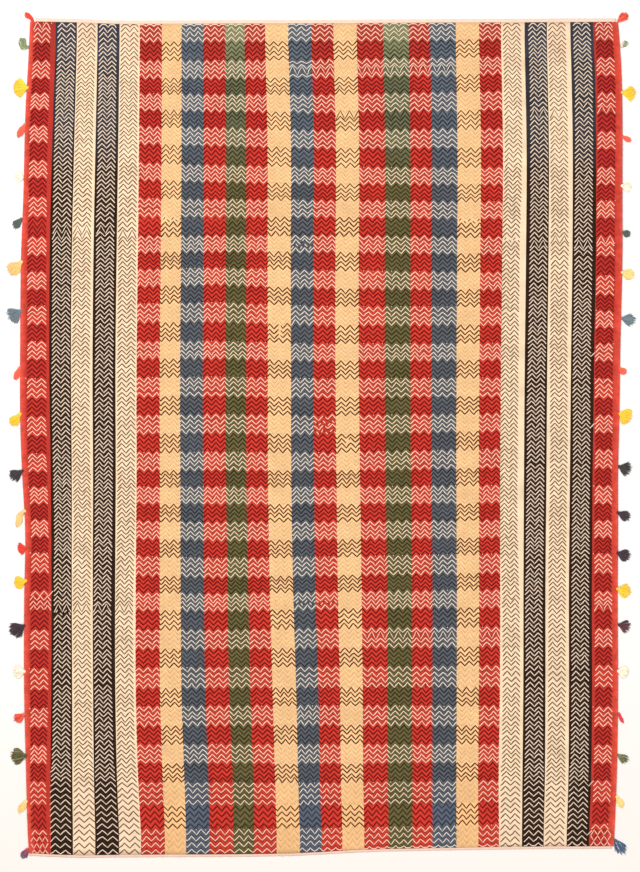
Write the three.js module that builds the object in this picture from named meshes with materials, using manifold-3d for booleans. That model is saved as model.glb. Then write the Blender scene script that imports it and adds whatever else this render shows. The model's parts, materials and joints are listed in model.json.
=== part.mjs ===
// A hand-woven wool floor rug laid flat and face up. It is a flat-woven cloth with stripes along its length,
// a narrow tape sewn along each end, a wrapped edging down each long side and twenty tassels on each edging.
// +X runs across the rug, +Y along it and +Z up. The underside is at z = 0, and all sizes are in millimetres.
import * as THREE from 'three';
import Module from 'manifold-3d';
import { mergeVertices } from 'three/addons/utils/BufferGeometryUtils.js';

const wasm = await Module();
wasm.setup();

const sewnGap = 0.3; // between two pieces that are sewn together
const clothThick = 3;
const cornerX = 730; // where the end lines are read for a corner

// The edging is thickest along a crest, and slopes from there to the cloth's face.
const edgingWide = 14;
const edgingTall = 4.6;
const edgingInnerTall = 3.6;
const edgingCrest = 3; // how far in from its outer side the crest is
const edgingRound = 1.7; // how far in its rounded outer side reaches
const edgingSteps = 40;

const tapeThick = 2.4;
const tapeRound = 0.9; // how far in its rounded outer side reaches
const tapeStep = 75;
const roundSpans = 4; // the flats in a rounded side

const headLong = 7.5;
const headWide = 5.8;
const headTall = 5.2;
const lockFan = 1.8; // how far to each side of the head's middle the outer locks start
const lockLift = 0.55; // how far off the floor a lock leaves the head
const outerShorter = 0.1; // the share by which the outermost locks are shorter

// How much the locks of one tassel differ: in length as a share, in curl in degrees and in lift in millimetres.
const lockUneven = { long: 0.07, curl: 3, lift: 0.3 };

// A lock at its root, where it spreads and at its tip. along is a share of its length. Its width is in
// millimetres at the root, and from there on a share of the room that each lock has in the fan.
const lockSections = [
  { along: 0, wide: 2, tall: 3.2 },
  { along: 0.5, share: 0.84, tall: 3 },
  { along: 1, share: 0.5, tall: 2 },
];

// The long sides, from the far end to the near end: each side's distance from the middle line.
const sideRows = [
  { y: 1051, left: 734, right: 751 },
  { y: 940, left: 739, right: 759 },
  { y: 818, left: 746, right: 762 },
  { y: 606, left: 751, right: 762 },
  { y: 454, left: 757, right: 762 },
  { y: 242, left: 759, right: 757 },
  { y: 44, left: 759, right: 754 },
  { y: -92, left: 754, right: 751 },
  { y: -244, left: 746, right: 751 },
  { y: -411, left: 749, right: 750 },
  { y: -639, left: 749, right: 751 },
  { y: -851, left: 744, right: 748 },
  { y: -973, left: 741, right: 743 },
  { y: -1049, left: 737, right: 740 },
];

// The two ends of the woven cloth, from left to right.
const endRows = [
  { x: -735, top: 1052, bottom: -1052 },
  { x: -615, top: 1050, bottom: -1057 },
  { x: -530, top: 1046, bottom: -1056 },
  { x: -100, top: 1047, bottom: -1053 },
  { x: 15, top: 1047, bottom: -1048 },
  { x: 125, top: 1048, bottom: -1042 },
  { x: 530, top: 1050, bottom: -1035 },
  { x: 740, top: 1051, bottom: -1034 },
];

// Each tape: its width, and how far it stops short of the rug's outer sides.
const tapes = {
  top: { wide: 9.5, shortLeft: 14.5, shortRight: 6.5 },
  bottom: { wide: 7, shortLeft: 1, shortRight: 2 },
};

const woolRoughness = 0.9;

// Wool colours, as sRGB.
const wool = {
  groundRed: '#b8412f',
  red: '#d8402f',
  sage: '#98a070',
  yellow: '#f2c04c',
  coral: '#ee6a4c',
  peach: '#f6d3ac',
  greyGreen: '#5c6654',
  apricot: '#f2b468',
  greyBlue: '#5d7283',
  charcoal: '#3b3d3f',
  aubergine: '#4b3440',
  olive: '#7d8137',
  gold: '#eeb95a',
  blue: '#3f5a7c',
  undyed: '#f3dfc4',
};

// Tassels, from the far corner to the near one. y is where each is sewn on. lies is the way it points, in
// degrees from straight out, + towards the far end. curls turns it further on its way to the tip. spread is how
// far its locks fan out to each side. One with an inset is sewn to the end of the edging, that far in from its
// outer side.
const leftTassels = [
  { inset: 7.6, lies: 52, curls: 22, long: 28, spread: 24, locks: 6, colour: 'red' },
  { y: 986, lies: 4, curls: 58, long: 31, spread: 24, locks: 7, colour: 'sage' },
  { y: 885, lies: 4, curls: 6, long: 33, spread: 36, locks: 7, colour: 'yellow' },
  { y: 789, lies: -50, curls: -8, long: 27, spread: 13, locks: 4, colour: 'coral' },
  { y: 656, lies: 2, curls: 4, long: 22, spread: 30, locks: 6, colour: 'peach' },
  { y: 554, lies: -34, curls: -10, long: 28, spread: 24, locks: 6, colour: 'greyGreen' },
  { y: 441, lies: -34, curls: -10, long: 38, spread: 20, locks: 6, colour: 'apricot' },
  { y: 319, lies: -12, curls: -6, long: 34, spread: 28, locks: 7, colour: 'greyBlue' },
  { y: 173, lies: -38, curls: -6, long: 28, spread: 14, locks: 4, colour: 'coral' },
  { y: 57, lies: -44, curls: -6, long: 31, spread: 19, locks: 5, colour: 'yellow' },
  { y: -86, lies: -24, curls: -8, long: 35, spread: 22, locks: 6, colour: 'charcoal' },
  { y: -191, lies: -46, curls: -8, long: 38, spread: 12, locks: 4, colour: 'apricot' },
  { y: -279, lies: -36, curls: -6, long: 22, spread: 24, locks: 5, colour: 'red' },
  { y: -364, lies: -14, curls: -4, long: 28, spread: 28, locks: 6, colour: 'yellow' },
  { y: -477, lies: -22, curls: -8, long: 35, spread: 25, locks: 7, colour: 'aubergine' },
  { y: -592, lies: -12, curls: -6, long: 29, spread: 24, locks: 6, colour: 'peach' },
  { y: -701, lies: -22, curls: -6, long: 29, spread: 22, locks: 5, colour: 'coral' },
  { y: -806, lies: 2, curls: -6, long: 34, spread: 34, locks: 7, colour: 'olive' },
  { y: -922, lies: -42, curls: -8, long: 32, spread: 13, locks: 4, colour: 'gold' },
  { y: -1040, lies: -48, curls: -12, long: 27, spread: 30, locks: 7, colour: 'blue' },
];

const rightTassels = [
  { inset: 1.6, lies: 40, curls: -4, long: 27, spread: 34, locks: 7, colour: 'red' },
  { y: 989, lies: 28, curls: 8, long: 25, spread: 22, locks: 5, colour: 'sage' },
  { y: 873, lies: -6, curls: -6, long: 35, spread: 30, locks: 7, colour: 'yellow' },
  { y: 761, lies: -18, curls: -6, long: 26, spread: 16, locks: 4, colour: 'coral' },
  { y: 636, lies: -14, curls: -6, long: 22, spread: 24, locks: 5, colour: 'peach' },
  { y: 520, lies: -28, curls: -6, long: 22, spread: 18, locks: 4, colour: 'greyGreen' },
  { y: 417, lies: -14, curls: -8, long: 32, spread: 16, locks: 5, colour: 'gold' },
  { y: 302, lies: -4, curls: -4, long: 32, spread: 28, locks: 7, colour: 'greyBlue' },
  { y: 173, lies: -44, curls: -6, long: 20, spread: 18, locks: 4, colour: 'coral' },
  { y: 60, lies: -24, curls: -10, long: 31, spread: 36, locks: 7, colour: 'yellow' },
  { y: -73, lies: -8, curls: -8, long: 32, spread: 34, locks: 7, colour: 'charcoal' },
  { y: -191, lies: -16, curls: -8, long: 28, spread: 25, locks: 6, colour: 'aubergine' },
  { y: -293, lies: -18, curls: -8, long: 28, spread: 26, locks: 6, colour: 'aubergine' },
  { y: -384, lies: -18, curls: -6, long: 32, spread: 30, locks: 6, colour: 'gold' },
  { y: -473, lies: -10, curls: -8, long: 30, spread: 32, locks: 7, colour: 'charcoal' },
  { y: -591, lies: -10, curls: -6, long: 24, spread: 27, locks: 5, colour: 'peach' },
  { y: -697, lies: -52, curls: -8, long: 28, spread: 12, locks: 4, colour: 'red' },
  { y: -803, lies: -14, curls: -6, long: 28, spread: 26, locks: 6, colour: 'olive' },
  { y: -908, lies: -52, curls: -8, long: 30, spread: 14, locks: 4, colour: 'gold' },
  { y: -1017, lies: -54, curls: -10, long: 34, spread: 22, locks: 7, colour: 'blue' },
];

// A smooth line through the rows of a table, which run one way along the column named by along.
function readRows(rows, along, column, at) {
  const rising = rows[0][along] < rows[rows.length - 1][along] ? rows : [...rows].reverse();
  const last = rising.length - 1;
  const place = Math.min(Math.max(at, rising[0][along]), rising[last][along]);
  let i = 0;
  while (i < last - 1 && place > rising[i + 1][along]) {
    i += 1;
  }
  const slope = (k) => {
    const before = rising[Math.max(k - 1, 0)];
    const after = rising[Math.min(k + 1, last)];
    return (after[column] - before[column]) / (after[along] - before[along]);
  };
  const [from, to] = [rising[i], rising[i + 1]];
  const step = to[along] - from[along];
  const t = (place - from[along]) / step;
  return (
    (1 + 2 * t) * (1 - t) ** 2 * from[column] +
    t * (1 - t) ** 2 * step * slope(i) +
    t ** 2 * (3 - 2 * t) * to[column] +
    t ** 2 * (t - 1) * step * slope(i + 1)
  );
}

const endLine = (end, x) => readRows(endRows, 'x', end, x);
const sideLine = (side, y) => side.out * readRows(sideRows, 'y', side.name, y);

const sides = [
  { name: 'left', out: -1, tassels: leftTassels },
  { name: 'right', out: 1, tassels: rightTassels },
];

// The heights that the cloth's side and its edging share, so that both bend at the same places.
function sideHeights(side) {
  const low = endLine('bottom', side.out * cornerX);
  const high = endLine('top', side.out * cornerX);
  return Array.from({ length: edgingSteps + 1 }, (_, i) => THREE.MathUtils.lerp(low, high, i / edgingSteps));
}

// The places across the rug that the cloth's end and its tape share, between the two outer ones given.
function endPlaces(from, to) {
  const places = [from];
  for (let x = Math.ceil(from / tapeStep) * tapeStep; x < to; x += tapeStep) {
    if (x - from > tapeStep / 4 && to - x > tapeStep / 4) {
      places.push(x);
    }
  }
  places.push(to);
  return places;
}

// The outer side of a strip, rounded from its top over to its underside, both of them at the distance deep.
function roundedSide(deep, tall) {
  return Array.from({ length: roundSpans + 1 }, (_, i) => {
    const turned = (Math.PI * i) / roundSpans;
    return [deep * (1 - Math.sin(turned)), (tall / 2) * (1 + Math.cos(turned))];
  });
}

// A section pushed along a row of steps, with each point put in its place by put(across, up, step).
function pushedAlong(section, steps, put) {
  const outline = new THREE.Shape(section.map(([across, up]) => new THREE.Vector2(across, up)));
  const geometry = new THREE.ExtrudeGeometry(outline, { depth: 1, steps, bevelEnabled: false });
  const points = geometry.attributes.position;
  for (let i = 0; i < points.count; i += 1) {
    const [x, y, z] = put(points.getX(i), points.getY(i), Math.round(points.getZ(i) * steps));
    points.setXYZ(i, x, y, z);
  }
  geometry.computeVertexNormals();
  return geometry;
}

function asSolid(geometry) {
  const bare = geometry.index ? geometry.toNonIndexed() : geometry.clone();
  bare.deleteAttribute('normal');
  bare.deleteAttribute('uv');
  const merged = mergeVertices(bare, 1e-3);
  return new wasm.Manifold(
    new wasm.Mesh({
      numProp: 3,
      vertProperties: new Float32Array(merged.attributes.position.array),
      triVerts: new Uint32Array(merged.index.array),
    }),
  );
}

function fused(geometries) {
  const solid = geometries.map(asSolid).reduce((all, next) => all.add(next));
  const mesh = solid.getMesh();
  const geometry = new THREE.BufferGeometry();
  geometry.setAttribute('position', new THREE.BufferAttribute(new Float32Array(mesh.vertProperties), 3));
  geometry.setIndex(new THREE.BufferAttribute(new Uint32Array(mesh.triVerts), 1));
  geometry.computeVertexNormals();
  return geometry;
}

function piece(name, geometry, color) {
  const material = new THREE.MeshStandardMaterial({ color, roughness: woolRoughness, metalness: 0 });
  const mesh = new THREE.Mesh(geometry, material);
  mesh.name = name;
  return mesh;
}

// The woven cloth, one flat sheet whose sides and ends wander as a hand-woven rug's do.
function makeCloth() {
  const inset = edgingWide + sewnGap;
  const corners = sides.map((side) => sideLine(side, 0) - side.out * inset);
  const sideEdge = (side) => sideHeights(side).map((y) => [sideLine(side, y) - side.out * inset, y]);
  const endEdge = (end) =>
    endPlaces(corners[0], corners[1])
      .slice(1, -1)
      .map((x) => [x, endLine(end, x)]);
  const [left, right] = sides.map(sideEdge);
  const outline = [...endEdge('bottom'), ...right, ...endEdge('top').reverse(), ...left.reverse()];
  const shape = new THREE.Shape(outline.map(([x, y]) => new THREE.Vector2(x, y)));
  const geometry = new THREE.ExtrudeGeometry(shape, { depth: clothThick, bevelEnabled: false });
  return piece('cloth', geometry, wool.groundRed);
}

// The edging is wool wrapped over the side of the cloth: flat beneath, and rounded along its outer side.
function makeEdging(side) {
  const heights = sideHeights(side);
  const section = [
    [edgingWide, 0],
    [edgingWide, edgingInnerTall],
    [edgingCrest, edgingTall],
    ...roundedSide(edgingRound, edgingTall),
  ];
  const geometry = pushedAlong(section, edgingSteps, (across, up, step) => {
    const y = heights[side.out > 0 ? step : edgingSteps - step];
    return [sideLine(side, y) - side.out * across, y, up];
  });
  return piece(`edging_${side.name}`, geometry, wool.red);
}

// The tape is a flat woven band sewn to the end of the cloth, with its free side rounded over.
function makeTape(end) {
  const { wide, shortLeft, shortRight } = tapes[end];
  const out = end === 'top' ? 1 : -1;
  const [left, right] = sides.map((side) => sideLine(side, endLine(end, side.out * cornerX)));
  const places = endPlaces(left + shortLeft, right - shortRight);
  const last = places.length - 1;
  const section = [
    [wide - sewnGap, 0],
    [wide - sewnGap, tapeThick],
    ...roundedSide(tapeRound, tapeThick),
  ];
  const geometry = pushedAlong(section, last, (across, up, step) => {
    const x = places[out > 0 ? last - step : step];
    return [x, endLine(end, x) + out * (wide - across), up];
  });
  return piece(`tape_${end}`, geometry, wool.undyed);
}

// A lock of wool: a strand that leaves the head a little up and lies level on the floor from there.
// room(along) is the width that it has to itself at a place along it.
function makeLock(from, heading, turn, long, lift, room) {
  const square = [
    [-0.5, 0],
    [0.5, 0],
    [0.5, 1],
    [-0.5, 1],
  ];
  return pushedAlong(square, lockSections.length - 1, (across, up, step) => {
    const { along, wide, share, tall } = lockSections[step];
    const half = (turn * along) / 2;
    const reach = Math.abs(half) > 1e-4 ? (long * along * Math.sin(half)) / half : long * along;
    const aside = across * (wide ?? share * room(along));
    return [
      from.x + reach * Math.cos(heading + half) - aside * Math.sin(heading + 2 * half),
      from.y + reach * Math.sin(heading + half) + aside * Math.cos(heading + 2 * half),
      up * tall + (step === 0 ? lift : 0),
    ];
  });
}

// A tassel is a knotted head with its locks fanned out on the floor, all of one hank of wool.
function makeTassel(side, row, name) {
  const towards = (degrees) => {
    const turned = THREE.MathUtils.degToRad(degrees);
    return side.out > 0 ? turned : Math.PI - turned;
  };
  const lie = towards(row.lies);
  const away = row.inset === undefined ? new THREE.Vector2(side.out, 0) : new THREE.Vector2(0, 1);
  const slant = lie - away.angle();
  const seatDepth = Math.hypot((headLong / 2) * Math.cos(slant), (headWide / 2) * Math.sin(slant)) + sewnGap;
  const top = endLine('top', side.out * cornerX);
  const seat =
    row.inset === undefined
      ? new THREE.Vector2(sideLine(side, row.y), row.y)
      : new THREE.Vector2(sideLine(side, top) - side.out * row.inset, top);
  const middle = seat.clone().addScaledVector(away, seatDepth);

  const head = new THREE.SphereGeometry(0.5, 7, 4);
  head.rotateX(Math.PI / 2);
  head.scale(headLong, headWide, headTall);
  head.rotateZ(lie);
  head.translate(middle.x, middle.y, headTall / 2);

  const fanned = 2 * THREE.MathUtils.degToRad(row.spread) * (row.long - seatDepth);
  const room = (along) => (2 * lockFan + fanned * along) / (row.locks - 1);
  const locks = Array.from({ length: row.locks }, (_, i) => {
    const fan = (2 * i) / (row.locks - 1) - 1;
    const odd = Math.sin(7 * i + row.long); // from -1 to 1, another for each lock
    const heading = towards(row.lies + fan * row.spread);
    const offset = (side.out > 0 ? 1 : -1) * fan * lockFan;
    const from = { x: middle.x - offset * Math.sin(lie), y: middle.y + offset * Math.cos(lie) };
    const long = (row.long - seatDepth) * (1 - outerShorter * fan ** 2 + lockUneven.long * odd);
    const turn = side.out * THREE.MathUtils.degToRad(row.curls + lockUneven.curl * odd);
    return makeLock(from, heading, turn, long, lockLift + lockUneven.lift * odd, room);
  });
  return piece(name, fused([head, ...locks]), wool[row.colour]);
}

const rug = new THREE.Group();
rug.add(makeCloth(), makeTape('top'), makeTape('bottom'));
for (const side of sides) {
  rug.add(makeEdging(side));
  side.tassels.forEach((row, i) => {
    rug.add(makeTassel(side, row, `tassel_${side.name}_${String(i + 1).padStart(2, '0')}`));
  });
}

// The origin is under the middle of the whole rug.
const middle = new THREE.Box3().setFromObject(rug).getCenter(new THREE.Vector3());
rug.position.set(-middle.x, -middle.y, 0);

export default rug;
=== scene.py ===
# The looks of a hand-woven flat wool rug: striped cloth with raised zigzag lines, taped ends, wrapped
# side edgings and forty small wool tassels, laid flat on a pale floor. Sizes here are in millimetres.
import json
import math

import bmesh
import bpy
import numpy as np
from mathutils import Matrix, Vector


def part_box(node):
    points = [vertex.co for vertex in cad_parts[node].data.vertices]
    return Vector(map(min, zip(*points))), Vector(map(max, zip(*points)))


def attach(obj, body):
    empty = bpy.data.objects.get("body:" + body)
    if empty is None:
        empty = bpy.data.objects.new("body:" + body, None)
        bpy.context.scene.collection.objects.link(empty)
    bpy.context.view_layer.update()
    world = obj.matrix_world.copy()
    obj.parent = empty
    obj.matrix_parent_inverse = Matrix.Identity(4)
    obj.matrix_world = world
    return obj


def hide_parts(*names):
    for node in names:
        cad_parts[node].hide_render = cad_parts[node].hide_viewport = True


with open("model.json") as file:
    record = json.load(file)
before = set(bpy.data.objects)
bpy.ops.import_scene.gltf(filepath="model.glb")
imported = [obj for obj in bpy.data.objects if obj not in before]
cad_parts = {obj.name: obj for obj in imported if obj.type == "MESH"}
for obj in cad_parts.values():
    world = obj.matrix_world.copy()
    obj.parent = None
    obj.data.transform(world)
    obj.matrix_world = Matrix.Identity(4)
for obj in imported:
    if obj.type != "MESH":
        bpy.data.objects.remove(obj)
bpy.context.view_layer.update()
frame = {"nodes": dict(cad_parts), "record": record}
cadNodes = frame["nodes"]
mm = 0.001
imageTall = 872  # of the picture's frame, in pixels
chance = np.random.default_rng(7)


# Node trees

class Value:
    # A number that comes out of a node, so that sums on it read as plain Python.
    def __init__(self, nodes, socket):
        self.nodes = nodes
        self.socket = socket

    def maths(self, operation, first, second=0.0):
        node = self.nodes.add("ShaderNodeMath", {"operation": operation}, {0: first, 1: second})
        return Value(self.nodes, node.outputs[0])

    def __add__(self, other):
        return self.maths("ADD", self, other)

    def __sub__(self, other):
        return self.maths("SUBTRACT", self, other)

    def __rsub__(self, other):
        return self.maths("SUBTRACT", other, self)

    def __mul__(self, other):
        return self.maths("MULTIPLY", self, other)

    def __gt__(self, other):
        return self.maths("GREATER_THAN", self, other)

    def __lt__(self, other):
        return self.maths("LESS_THAN", self, other)

    __radd__ = __add__
    __rmul__ = __mul__

    def floor(self):
        return self.maths("FLOOR", self)

    def fraction(self):
        return self.maths("FRACT", self)

    def atLeast(self, least):
        return self.maths("MAXIMUM", self, least)

    def cosine(self):
        return self.maths("COSINE", self)

    def pingPong(self, size):
        return self.maths("PINGPONG", self, size)


class Nodes:
    # One node tree. add() takes a node's type, its settings, and the values or links of its sockets,
    # where a node stands for its first output.
    def __init__(self, tree):
        self.tree = tree
        tree.nodes.clear()

    def add(self, kind, settings=None, sockets=None):
        node = self.tree.nodes.new(kind)
        for name, value in (settings or {}).items():
            if name == "stops":
                self.setStops(node.color_ramp, value)
            else:
                setattr(node, name, value)
        for name, value in (sockets or {}).items():
            self.feed(node.inputs[name], value)
        return node

    def setStops(self, ramp, stops):
        # A flat step of colour from each stop to the next.
        ramp.interpolation = "CONSTANT"
        while len(ramp.elements) > 1:
            ramp.elements.remove(ramp.elements[-1])
        for i, (place, colour) in enumerate(stops):
            element = ramp.elements[0] if i == 0 else ramp.elements.new(place)
            element.position = place
            element.color = colour

    def feed(self, socket, value):
        if isinstance(value, Value):
            value = value.socket
        if isinstance(value, bpy.types.Node):
            value = value.outputs[0]
        if isinstance(value, bpy.types.NodeSocket):
            self.tree.links.new(value, socket)
        else:
            socket.default_value = value

    def number(self, kind, settings=None, sockets=None, output=0):
        return Value(self, self.add(kind, settings, sockets).outputs[output])

    def stored(self, name):
        # A number stored on the mesh.
        return self.number("ShaderNodeAttribute", {"attribute_name": name}, {}, 2)

    def objectPlace(self):
        return self.add("ShaderNodeTexCoord").outputs["Object"]

    def parts(self, vector):
        node = self.add("ShaderNodeSeparateXYZ", {}, {0: vector})
        return [Value(self, output) for output in node.outputs]

    def joined(self, x, y, z=0.0):
        return self.add("ShaderNodeCombineXYZ", {}, {0: x, 1: y, 2: z})

    def noise(self, where, scale, detail=2.0, roughness=0.5):
        sockets = {"Vector": where, "Scale": scale, "Detail": detail, "Roughness": roughness}
        return self.number("ShaderNodeTexNoise", {"noise_dimensions": "3D"}, sockets)

    def eased(self, value, start, full):
        # 0 up to the start, then softly up to 1 where it is full.
        settings = {"interpolation_type": "SMOOTHSTEP"}
        return self.number("ShaderNodeMapRange", settings, {0: value, 1: start, 2: full, 3: 0.0, 4: 1.0})

    def mixed(self, factor, first, second, blend="MIX"):
        settings = {"data_type": "RGBA", "blend_type": blend, "clamp_result": False}
        return self.add("ShaderNodeMix", settings, {0: factor, 6: first, 7: second}).outputs[2]

    def scaled(self, colour, factor):
        if isinstance(colour, tuple):
            colour = colour[:3]
        return self.add("ShaderNodeVectorMath", {"operation": "SCALE"}, {0: colour, "Scale": factor})


def linear(red, green, blue):
    # An sRGB colour as Blender's linear one.
    values = [value / 255 for value in (red, green, blue)]
    return tuple(v / 12.92 if v <= 0.04045 else ((v + 0.055) / 1.055) ** 2.4 for v in values) + (1.0,)


# The pattern's places

# The pattern is laid out from a middle point near the cloth's middle. Across it is read in nominal places,
# which the stripes keep but for their drift, and along it in bands, counted from the far end.
layout = {
    "asideOfMiddle": -1.5,  # from the cloth's middle to the pattern's
    "alongFromMiddle": 2.4,
    "edging": 14.3,  # from the rug's outer side to the cloth's own
    "fuller": {-1: 0.0, 1: 3.4},  # how much fuller the loose wool of each edging is
    "leftEdge": -746,  # where the first stripe starts
    "farEdge": 1055,  # where the first band starts
    "linesInBand": 4,
}

stripes = [  # from left to right: the yarn and the width
    ("edge", 69), ("navy", 54), ("pale", 53), ("navy", 57), ("pale", 52),
    ("red", 58), ("gold", 51), ("blue", 57), ("red", 57), ("green", 52), ("red", 55), ("gold", 59),
    ("blue", 57), ("red", 56), ("gold", 59), ("red", 65), ("green", 64), ("red", 52), ("blue", 63),
    ("gold", 57), ("red", 54), ("pale", 60), ("navy", 57), ("pale", 60), ("navy", 59), ("edge", 63),
]
firstCentre, lastCentre = 5, 20  # the stripes that the zigzags run right across

bandTall = [  # light bands and dark ones by turns, from the far end
    50, 46, 45, 42, 44, 46, 44, 48, 43, 45, 45, 49, 44, 45, 45, 43, 47, 45, 43, 46, 48, 46, 47,
    46, 46, 43, 43, 44, 44, 42, 49, 44, 45, 49, 49, 46, 55, 47, 48, 47, 47, 45, 57, 58, 63,
]

# How far the stripes stray to the right of their nominal places, down the rug.
driftAt = [-677, -623, -460, -238, -100, -15, 100, 228, 455, 602]
driftRows = [  # y, then the stray at each of those places
    (1000, 8, 8, 5, -2, -9, -7, -7, -4, 3, 2),
    (730, -1, 1, 3, 0, -2, 0, -1, 0, 8, 7),
    (450, -7, -5, 0, 0, -2, -2, -2, 0, 6, 6),
    (180, -8, -7, -3, -1, -1, -2, -2, 0, 3, 3),
    (-90, -4.5, -5, -3, 0, -1, 0, 1, 1, 1, 1),
    (-370, -2.5, -5, -5, 4, 4, 3, 5, 4, 1, -2),
    (-640, -3, -4, -5, 8, 12, 11, 8, 4, 0, -2),
    (-910, -5, -3, 3, 18, 19, 16, 10, 5, -3, -4),
    (-1000, -4, -2, 8, 18, 22, 19, 12, 5, -2, -7),
]

# How far the bands bow towards the near end.
bowAt = [-708, -266, 10, 430, 724]
bowRows = [  # the band, then the bow at each of those places
    (0, 6, 3, 3, 3, 2), (3, 5, 6, 4, -5, -2), (6, -7, 0, 7, 2, 8), (9, -10, 1, 6, 8, 6),
    (12, 2, -2, -3, 2, 1), (15, 0, -12, -2, 1, 13), (18, -3, -4, 3, 1, 3), (21, 2, -3, 1, -2, 2),
    (24, 4, 0, 2, -7, -5), (27, -2, 0, 0, -3, -2), (30, -7, 7, 3, -4, -5), (33, -1, 2, -3, -7, -1),
    (36, 3, 0, -1, -4, -5), (39, 2, -3, -4, -2, 0), (42, 0, 2, 3, -3, -2), (45, 10, 7, 2, -7, -12),
]

stripeNames = [name for name, wide in stripes]
stripeEdges = layout["leftEdge"] + np.cumsum([0.0] + [wide for name, wide in stripes])
bandEdges = layout["farEdge"] - np.cumsum([0.0, *bandTall])
bandCount = len(bandTall)
lineCount = bandCount * layout["linesInBand"]


def smoothThrough(places, values, at):
    # A smooth line through the values given at rising places.
    places = np.asarray(places, float)
    values = np.asarray(values, float)
    slopes = np.gradient(values, places)
    at = np.clip(at, places[0], places[-1])
    i = np.clip(np.searchsorted(places, at) - 1, 0, len(places) - 2)
    step = places[i + 1] - places[i]
    t = (at - places[i]) / step
    rise = (1 + 2 * t) * (1 - t) ** 2 * values[i] + t ** 2 * (3 - 2 * t) * values[i + 1]
    return rise + step * (t * (1 - t) ** 2 * slopes[i] + t ** 2 * (t - 1) * slopes[i + 1])


def betweenColumns(places, columns, at):
    # Columns of values, one at each of the places, read straight across at other places.
    i = np.clip(np.searchsorted(places, at) - 1, 0, len(places) - 2)
    t = (at - np.take(places, i)) / np.take(np.diff(places), i)
    before = np.take_along_axis(columns, i[None], 0)[0]
    after = np.take_along_axis(columns, i[None] + 1, 0)[0]
    return before * (1 - t) + after * t


def downTable(rows, at):
    # A smooth line down each column of a table whose rows start with their own places.
    table = np.array(sorted(rows), float)
    return [smoothThrough(table[:, 0], column, at) for column in table[:, 1:].T]


def together(first, second):
    return np.broadcast_arrays(np.asarray(first, float), np.asarray(second, float))


def boxOf(node):
    return [np.array(corner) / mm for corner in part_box(node)]


def pointsOf(node):
    # The points of a solid, from the pattern's middle.
    points = np.array([v.co for v in cadNodes[node].data.vertices]) / mm
    points[:, :2] -= patternMiddle
    return points


# The cloth's outline, read from its solid.
clothLow, clothHigh = boxOf("cloth")
patternMiddle = (clothLow + clothHigh)[:2] / 2 + [layout["asideOfMiddle"], layout["alongFromMiddle"]]
clothPoints = pointsOf("cloth")[:, :2]
sideFrom, endFrom = 700, 1025  # past these a point of the outline is on a side, or on an end


def outlineOf(points, along):
    # The outline's points in order along one way, each once.
    points = np.unique(np.round(points, 2), axis=0)
    return points[np.argsort(points[:, along])]


sideLines = {out: outlineOf(clothPoints[clothPoints[:, 0] * out > sideFrom], 1) for out in (-1, 1)}
endLines = {out: outlineOf(clothPoints[clothPoints[:, 1] * out > endFrom], 0) for out in (-1, 1)}


def clothSide(out, y):
    return np.interp(y, sideLines[out][:, 1], sideLines[out][:, 0])


def clothEnd(out, x):
    return np.interp(x, endLines[out][:, 0], endLines[out][:, 1])


def acrossAt(nominal, y):
    # Where a nominal place across the pattern lies, at a height.
    nominal, y = together(nominal, y)
    left = clothSide(-1, y) - layout["edging"] - stripeEdges[0]
    right = clothSide(1, y) + layout["edging"] - stripeEdges[-1]
    places = [stripeEdges[0], *driftAt, stripeEdges[-1]]
    return nominal + betweenColumns(places, np.stack([left, *downTable(driftRows, y), right]), nominal)


def alongAt(band, nominal):
    # The height of a place counted in bands, at a nominal place across.
    band, nominal = together(band, nominal)
    mean = np.interp(band, np.arange(bandCount + 1), bandEdges)
    nominal = np.clip(nominal, bowAt[0], bowAt[-1])
    return mean - betweenColumns(bowAt, np.stack(downTable(bowRows, band)), nominal)


# The cloth doesn't lie dead level: its face rises and falls a little in long soft waves.
waves = [  # how much, then the wave's length across and along, and where it starts
    (0.16, 410, 760, 0.4), (0.12, -290, 530, 2.1), (0.10, 190, -340, 4.0), (0.07, 120, 210, 1.2),
]
clothFace = (clothHigh - clothLow)[2]


def faceAt(x, y):
    return clothFace + sum(much * np.sin(2 * math.pi * (x / across + y / along) + start)
                           for much, across, along, start in waves)


# Meshes

def meshOf(name, points, edges=(), faces=(), numbers=None, middle=(0, 0)):
    # A mesh from points in millimetres, with the numbers stored on them, put round a middle.
    mesh = bpy.data.meshes.new(name)
    mesh.from_pydata((np.asarray(points, float) + [*middle, 0]) * mm, edges, faces)
    for label, values in (numbers or {}).items():
        attribute = mesh.attributes.new(label, "FLOAT", "POINT")
        attribute.data.foreach_set("value", np.asarray(values, float))
    mesh.update()
    return mesh


def chain(count, start=0):
    # The edges that join points in a row.
    return [(i, i + 1) for i in range(start, start + count - 1)]


def objectOf(name, mesh):
    made = bpy.data.objects.new(name, mesh)
    bpy.context.collection.objects.link(made)
    return made


def grown(name, tree, source, values):
    # What a Geometry Nodes tree makes of a mesh, as a plain mesh object.
    holder = objectOf(name + "_source", source)
    modifier = holder.modifiers.new("grow", "NODES")
    modifier.node_group = tree
    for item in tree.interface.items_tree:
        if item.in_out == "INPUT" and item.name in values:
            modifier[item.identifier] = values[item.name]
    depsgraph = bpy.context.evaluated_depsgraph_get()
    mesh = bpy.data.meshes.new_from_object(holder.evaluated_get(depsgraph), depsgraph=depsgraph)
    holder.modifiers.remove(modifier)
    bpy.data.objects.remove(holder)
    mesh.name = name
    return objectOf(name, mesh)


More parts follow.
